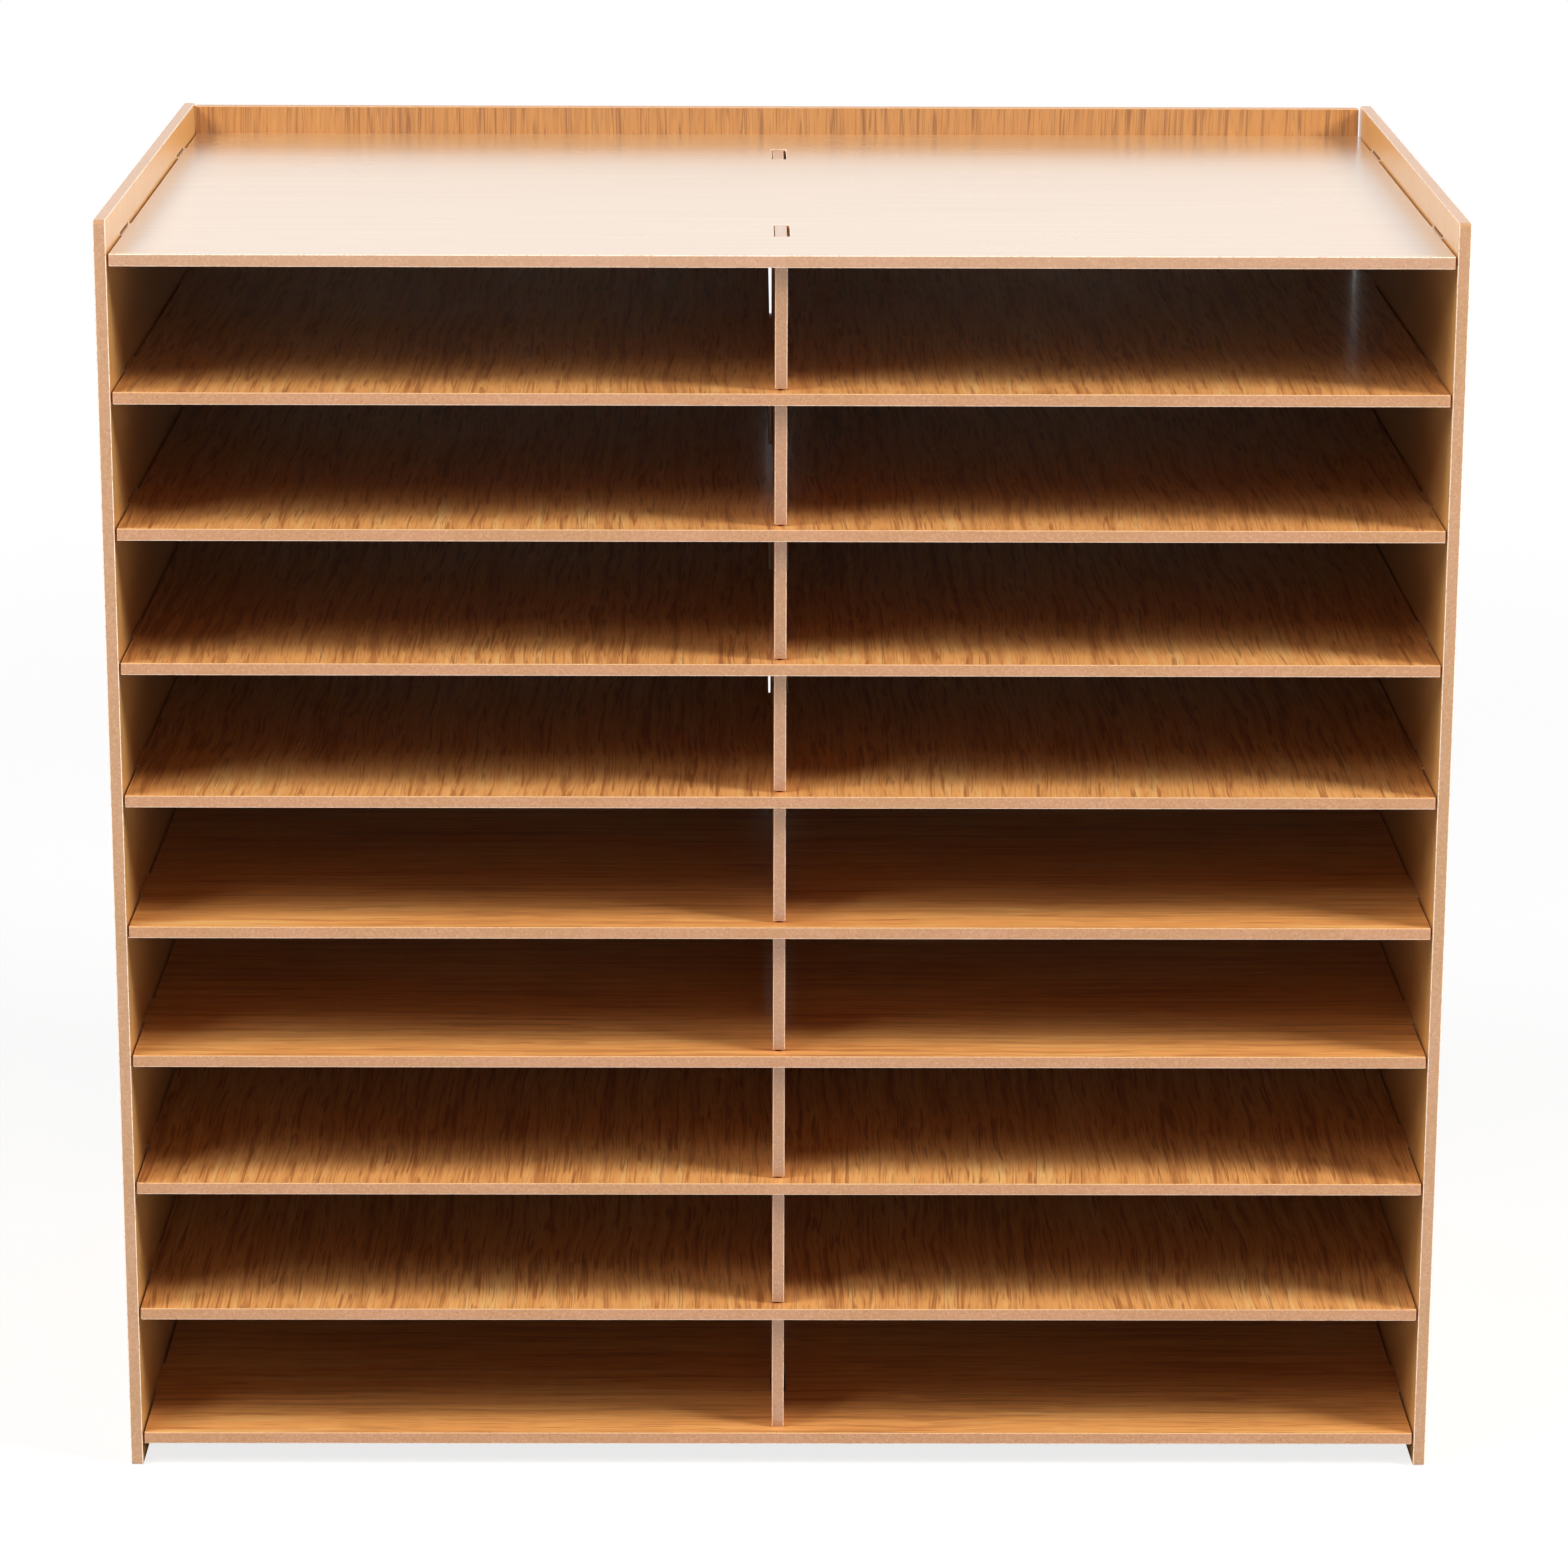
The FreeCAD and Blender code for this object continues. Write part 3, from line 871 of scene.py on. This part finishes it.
@dataclass
class ArrisNicks:
    """Tiny chips where the oak face of a lying board has broken away along its front arrises."""

    boards: tuple[str, ...]
    slot: str
    end_margin: float = 6 * MM
    inset: float = 0.17 * MM
    spacing: float = 11 * MM
    smallest: float = 0.10 * MM
    largest: float = 0.16 * MM
    stretch: float = 2.6
    seed: int = 5
    pale: Rgb = (246, 214, 178)
    brown: Rgb = (150, 98, 56)
    speck: Rgb = (140, 90, 58)
    roughness: float = 0.8

    def build(self, shop: ShaderShop) -> None:
        """Builds the chips of all the boards as one piece, which rides on the frame.

        Args:
            shop: The shared node groups.
        """
        lines = self._arris_lines()
        piece = bpy.data.objects.new("arris_nicks", lines)
        bpy.context.scene.collection.objects.link(piece)
        tree = self._tree()
        modifier = piece.modifiers.new("nicks", "NODES")
        modifier.node_group = tree
        values = {
            "Spacing": self.spacing, "Smallest": self.smallest, "Largest": self.largest,
            "Stretch": self.stretch, "Seed": self.seed, "Finish": self._material(shop),
        }
        for item in tree.interface.items_tree:
            if item.in_out == "INPUT" and item.name in values:
                modifier[item.identifier] = values[item.name]
        bpy.context.view_layer.update()
        made = bpy.data.meshes.new_from_object(piece.evaluated_get(bpy.context.evaluated_depsgraph_get()))
        piece.modifiers.remove(modifier)
        piece.data = made
        bpy.data.meshes.remove(lines)
        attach(piece, "root")
        LOG.info("arris_nicks: %d faces on %d boards", len(made.polygons), len(self.boards))

    def _arris_lines(self) -> bpy.types.Mesh:
        """Draws one straight line along the upper and the lower front arris of each board.

        Returns:
            A mesh of edges.
        """
        points, runs = [], []
        inner_low, inner_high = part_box("left_side_panel")[1].x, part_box("right_side_panel")[0].x
        start, end = inner_low + self.end_margin, inner_high - self.end_margin
        for node in self.boards:
            low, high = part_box(node)
            for height in (low.z + self.inset, high.z - self.inset):
                runs.append((len(points), len(points) + 1))
                points.append((start, low.y + self.inset, height))
                points.append((end, low.y + self.inset, height))
        mesh = bpy.data.meshes.new("arris_lines")
        mesh.from_pydata(points, runs, [])
        return mesh

    def _random(
        self, desk: NodeDesk, low: object, high: object, seed: bpy.types.NodeSocket, draw: float
    ) -> bpy.types.NodeSocket:
        """Adds a Random Value node that gives each chip its own number.

        Args:
            desk: The desk of the tree.
            low: The lowest number.
            high: The highest number.
            seed: The seed that all the draws share.
            draw: What tells this draw from the others.

        Returns:
            The number.
        """
        made = desk.node("FunctionNodeRandomValue", data_type="FLOAT")
        desk.feed(made.inputs["Seed"], desk.maths("ADD", seed, draw))
        return desk.by_place(made, RANDOM_NUMBERS, low, high)

    def _tree(self) -> bpy.types.NodeTree:
        """Builds the tree that scatters the chips along lines.

        Returns:
            The geometry node tree.
        """
        tree = bpy.data.node_groups.new("scatter_nicks", "GeometryNodeTree")
        tree.interface.new_socket(name="Lines", in_out="INPUT", socket_type="NodeSocketGeometry")
        for label in ("Spacing", "Smallest", "Largest", "Stretch"):
            tree.interface.new_socket(name=label, in_out="INPUT", socket_type="NodeSocketFloat")
        tree.interface.new_socket(name="Seed", in_out="INPUT", socket_type="NodeSocketInt")
        tree.interface.new_socket(name="Finish", in_out="INPUT", socket_type="NodeSocketMaterial")
        tree.interface.new_socket(name="Nicks", in_out="OUTPUT", socket_type="NodeSocketGeometry")
        desk = NodeDesk(tree)
        given, made = desk.node("NodeGroupInput"), desk.node("NodeGroupOutput")
        curves = desk.node("GeometryNodeMeshToCurve")
        desk.feed(curves.inputs["Mesh"], given.outputs["Lines"])
        points = desk.node("GeometryNodeCurveToPoints", mode="LENGTH")
        desk.feed(points.inputs["Curve"], curves.outputs["Curve"])
        desk.feed(points.inputs["Length"], given.outputs["Spacing"])
        half_back, half_on = (desk.maths("MULTIPLY", given.outputs["Spacing"], share) for share in (-0.5, 0.5))
        along = desk.node("ShaderNodeCombineXYZ")
        desk.feed(along.inputs["X"], self._random(desk, half_back, half_on, given.outputs["Seed"], 0.0))
        moved = desk.node("GeometryNodeSetPosition")
        desk.feed(moved.inputs["Geometry"], points.outputs["Points"])
        desk.feed(moved.inputs["Offset"], along.outputs["Vector"])
        size = self._random(desk, given.outputs["Smallest"], given.outputs["Largest"], given.outputs["Seed"], 1.0)
        length = self._random(desk, 1.0, given.outputs["Stretch"], given.outputs["Seed"], 2.0)
        scale = desk.node("ShaderNodeCombineXYZ")
        desk.feed(scale.inputs["X"], desk.maths("MULTIPLY", size, length))
        desk.feed(scale.inputs["Y"], size)
        desk.feed(scale.inputs["Z"], size)
        chip = desk.node("GeometryNodeMeshIcoSphere")
        chip.inputs["Radius"].default_value = 1.0
        chip.inputs["Subdivisions"].default_value = 1
        placed = desk.node("GeometryNodeInstanceOnPoints")
        desk.feed(placed.inputs["Points"], moved.outputs["Geometry"])
        desk.feed(placed.inputs["Instance"], chip.outputs["Mesh"])
        desk.feed(placed.inputs["Scale"], scale.outputs["Vector"])
        real = desk.node("GeometryNodeRealizeInstances")
        desk.feed(real.inputs["Geometry"], placed.outputs["Instances"])
        finished = desk.node("GeometryNodeSetMaterial")
        desk.feed(finished.inputs["Geometry"], real.outputs["Geometry"])
        desk.feed(finished.inputs["Material"], given.outputs["Finish"])
        desk.feed(made.inputs["Nicks"], finished.outputs["Geometry"])
        return tree

    def _material(self, shop: ShaderShop) -> bpy.types.Material:
        """Builds the finish of the chips, bare core that is pale in some and dark in others.

        Args:
            shop: The shared node groups.

        Returns:
            The material.
        """
        material, desk, shader = new_material("bare_nick")
        core = desk.group(shop.core, {
            "Vector": desk.node("ShaderNodeTexCoord").outputs["Object"], "Rosy": linear(self.pale),
            "Tan": linear(self.brown), "Speck": linear(self.speck),
        })
        desk.feed(shader.inputs["Base Color"], core.outputs["Color"])
        shader.inputs["Roughness"].default_value = self.roughness
        return material


@dataclass
class Lamp:
    """One soft box, whose level is the brightness that it gives to a white surface facing it."""

    name: str
    azimuth: float
    elevation: float
    level: float
    width: float = 0.75
    height: float = 0.75
    distance: float = 2.6
    in_gloss: bool = False
    tint: tuple[float, float, float] = (1.0, 1.0, 1.0)

    def build(self, target: Vector) -> None:
        """Hangs the lamp and turns it to the object.

        Args:
            target: The point it looks at.
        """
        light = bpy.data.lights.new(self.name, "AREA")
        light.shape = "RECTANGLE"
        light.size = self.width
        light.size_y = self.height
        light.energy = self.level * (math.pi * self.distance) ** 2
        light.color = self.tint
        lamp = bpy.data.objects.new(self.name, light)
        bpy.context.scene.collection.objects.link(lamp)
        az, el = math.radians(self.azimuth), math.radians(self.elevation)
        way = Vector((math.sin(az) * math.cos(el), -math.cos(az) * math.cos(el), math.sin(el)))
        lamp.location = target + way * self.distance
        lamp.rotation_euler = (-way).to_track_quat("-Z", "Y").to_euler()
        lamp.visible_camera = False
        lamp.visible_glossy = self.in_gloss


@dataclass
class Studio:
    """Camera, floor, world and soft boxes.

    The floor is plain white beyond far_floor. Nearer than near_floor, shadow_share of its white is left to the light
    that falls on it, which keeps the object's shadow.
    """

    camera_place: Xyz = (-0.013817, -2.226477, 0.855777)
    camera_turn: Xyz = (74.85472, -0.19785, -0.36787)
    lens: float = 118.946
    sensor: float = 36.0
    floor_size: float = 12.0
    near_floor: float = 0.8
    far_floor: float = 1.9
    shadow_share: float = 0.2
    seen_under: float = 36 * MM
    dusk: float = 6 * MM
    world_level: float = 0.04
    mirrored_sky: float = 0.8
    paper: Rgba = (0.85, 0.85, 0.85, 1.0)
    paper_roughness: float = 0.9
    clip: tuple[float, float] = (0.05, 60.0)
    middle: Xyz = (0.0, 0.0, 0.27)
    lamps: tuple[Lamp, ...] = (
        Lamp("right_box", 66.0, 34.0, 0.97),
        Lamp("left_box", -66.0, 42.0, 0.6),
        Lamp("front_left_box", -42.0, 34.0, 0.26),
        Lamp("front_fill", 0.0, 6.0, 0.11, width=1.4, tint=(0.55, 0.8, 1.0)),
        Lamp("rear_right_box", 142.0, 40.0, 0.1),
        Lamp("rear_left_box", -142.0, 40.0, 0.1),
        Lamp("rear_glow", 180.0, 12.0, 0.042, width=2.6, height=1.2, in_gloss=True),
    )

    def build(self) -> None:
        """Builds the whole studio."""
        self._camera()
        self._world()
        self._floor()
        for lamp in self.lamps:
            lamp.build(Vector(self.middle))
        bpy.context.scene.view_settings.view_transform = "Standard"

    def _camera(self) -> None:
        """Puts the camera where the photograph was taken from."""
        data = bpy.data.cameras.new("camera")
        data.lens = self.lens
        data.sensor_width = self.sensor
        data.sensor_fit = "HORIZONTAL"
        data.clip_start, data.clip_end = self.clip
        camera = bpy.data.objects.new("camera", data)
        bpy.context.scene.collection.objects.link(camera)
        camera.location = self.camera_place
        camera.rotation_euler = Euler([math.radians(a) for a in self.camera_turn], "XYZ")
        bpy.context.scene.camera = camera

    def _shown_rays(self, desk: NodeDesk) -> bpy.types.NodeSocket:
        """Tells the rays that show a background from those that light the object.

        Args:
            desk: The desk of the material or the world.

        Returns:
            1 for camera, glossy and transmission rays, otherwise 0.
        """
        rays = desk.node("ShaderNodeLightPath")
        shown = desk.maths("MAXIMUM", rays.outputs["Is Camera Ray"], rays.outputs["Is Glossy Ray"])
        return desk.maths("MAXIMUM", shown, rays.outputs["Is Transmission Ray"])

    def _world(self) -> None:
        """Builds a world that is white to the camera, light grey in mirrors and a faint even light on the object."""
        world = bpy.data.worlds.new("studio_world")
        world.use_nodes = True
        desk = NodeDesk(world.node_tree)
        world.node_tree.nodes.clear()
        sky = desk.node("ShaderNodeBackground")
        desk.feed(sky.inputs["Strength"], desk.between(self._shown_rays(desk), self.world_level, 1.0))
        seen = desk.node("ShaderNodeLightPath").outputs["Is Camera Ray"]
        desk.feed(sky.inputs["Color"], desk.blend(seen, grey(self.mirrored_sky), WHITE))
        out = desk.node("ShaderNodeOutputWorld")
        desk.feed(out.inputs["Surface"], sky.outputs["Background"])
        bpy.context.scene.world = world

    def _open_floor(self, desk: NodeDesk, place: bpy.types.NodeSocket) -> bpy.types.NodeSocket:
        """Tells the open floor from the floor under the bottom board, which no light reaches.

        Args:
            desk: The desk of the floor's material.
            place: The place on the floor.

        Returns:
            1 in the open, 0 under the board. Camera rays pass a little way under its edge before it is dark.
        """
        low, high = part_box("bottom_board")
        apart = desk.node("ShaderNodeSeparateXYZ")
        desk.feed(apart.inputs["Vector"], place)
        seen = desk.node("ShaderNodeLightPath").outputs["Is Camera Ray"]
        reach = desk.maths("MULTIPLY", seen, self.seen_under)
        front = desk.maths("SUBTRACT", apart.outputs["Y"], reach)
        back = desk.maths("ADD", apart.outputs["Y"], reach)
        side = desk.spread(desk.maths("ABSOLUTE", apart.outputs["X"]), high.x, high.x + self.dusk)
        before = desk.spread(front, low.y, low.y + self.dusk, 1.0, 0.0)
        behind = desk.spread(back, high.y - self.dusk, high.y)
        return desk.maths("MAXIMUM", side, desk.maths("MAXIMUM", before, behind))

    def _floor(self) -> None:
        """Lays a pale floor that looks white from the camera and keeps the object's shadow."""
        half = self.floor_size / 2
        mesh = bpy.data.meshes.new("floor")
        corners = [(-half, -half, 0), (half, -half, 0), (half, half, 0), (-half, half, 0)]
        mesh.from_pydata(corners, [], [(0, 1, 2, 3)])
        floor = bpy.data.objects.new("floor", mesh)
        bpy.context.scene.collection.objects.link(floor)
        material, desk, paper = new_material("floor_paper")
        paper.inputs["Base Color"].default_value = self.paper
        paper.inputs["Roughness"].default_value = self.paper_roughness
        place = desk.node("ShaderNodeTexCoord").outputs["Object"]
        away = desk.node("ShaderNodeVectorMath", operation="LENGTH")
        desk.feed(away.inputs[0], place)
        plain = desk.spread(away.outputs["Value"], self.near_floor, self.far_floor)
        glow = desk.node("ShaderNodeEmission")
        white = desk.between(plain, 1.0 - self.shadow_share, 1.0)
        # Painted shadow: under the bottom board the floor's white glow is cut out by place, so only the light that
        # reaches it shows there.
        desk.feed(glow.inputs["Strength"], desk.maths("MULTIPLY", white, self._open_floor(desk, place)))
        catcher = desk.node("ShaderNodeBsdfDiffuse")
        desk.feed(catcher.inputs["Color"], desk.blend(plain, grey(self.shadow_share), BLACK))
        backdrop = desk.node("ShaderNodeAddShader")
        desk.feed(backdrop.inputs[0], glow.outputs[0])
        desk.feed(backdrop.inputs[1], catcher.outputs[0])
        surface = desk.node("ShaderNodeMixShader")
        desk.feed(surface.inputs[0], self._shown_rays(desk))
        desk.feed(surface.inputs[1], paper.outputs[0])
        desk.feed(surface.inputs[2], backdrop.outputs[0])
        desk.feed(material.node_tree.nodes["Material Output"].inputs["Surface"], surface.outputs[0])
        mesh.materials.append(material)


def main() -> None:
    """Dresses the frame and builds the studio."""
    logging.basicConfig(level=logging.INFO, format="%(name)s %(message)s")
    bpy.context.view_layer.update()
    shop = ShaderShop()
    SideWalls().build(shop)
    Rear().build(shop)
    Spine().build(shop)
    shelves = ShelfStack()
    shelves.build(shop)
    TrayTop().build(shop)
    ArrisNicks(shelves.cross_grain + shelves.long_grain + ("top_board",), "cross_grain_shelf_finish").build(shop)
    Studio().build()


if __name__ == "__main__":
    main()
